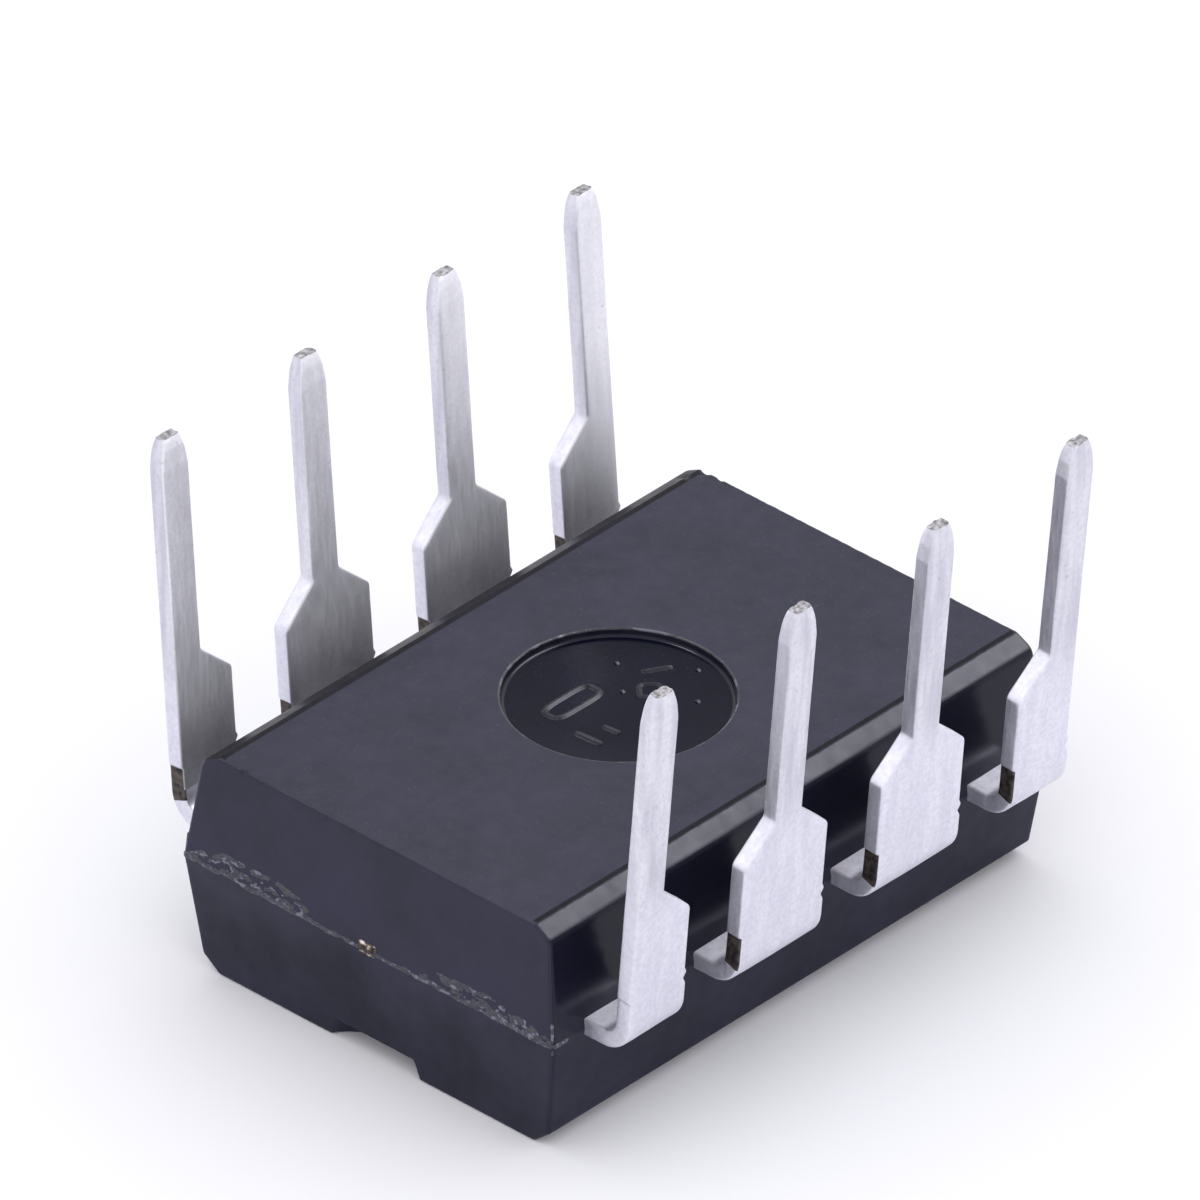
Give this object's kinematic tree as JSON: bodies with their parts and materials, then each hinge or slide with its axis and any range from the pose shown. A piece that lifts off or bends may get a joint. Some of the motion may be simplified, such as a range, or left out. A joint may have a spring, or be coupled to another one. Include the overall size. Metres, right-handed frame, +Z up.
{
  "type": "dual in-line integrated circuit chip",
  "caption": "Dual in-line integrated circuit lying on its back: a black moulded body with a round recess and an end notch, and two rows of bent, tinned leads that point up.",
  "frame": {"origin": "the middle of the package's top face, which is underneath here and which the part rests on", "axes": "+X along the body, away from the end with the pin 1 notch; +Y across the leads, towards the row of pins 1 to 4; +Z up, out of the underside, the way the leads point"},
  "size_m": [0.0092, 0.0086, 0.0072],
  "materials": {
    "epoxy": "fine matte moulded epoxy, glossier on the drafted sides and in the round recess",
    "tinned_lead": "matte tin plating over copper alloy, with bare copper where the dam bars were sheared",
    "frame_copper": "bare rolled copper alloy",
    "attach_paste": "silver-filled adhesive",
    "silicon": "polished silicon",
    "gold_wire": "drawn gold wire"
  },
  "bodies": {
    "root": {"body": "epoxy", "lead_1": "tinned_lead", "lead_2": "tinned_lead", "lead_3": "tinned_lead", "lead_4": "tinned_lead", "lead_5": "tinned_lead", "lead_6": "tinned_lead", "lead_7": "tinned_lead", "lead_8": "tinned_lead", "die_paddle": "frame_copper", "die_attach": "attach_paste", "die": "silicon", "bond_wire_1": "gold_wire", "bond_wire_2": "gold_wire", "bond_wire_3": "gold_wire", "bond_wire_4": "gold_wire", "bond_wire_5": "gold_wire", "bond_wire_6": "gold_wire", "bond_wire_7": "gold_wire", "bond_wire_8": "gold_wire"}
  },
  "joints": []
}
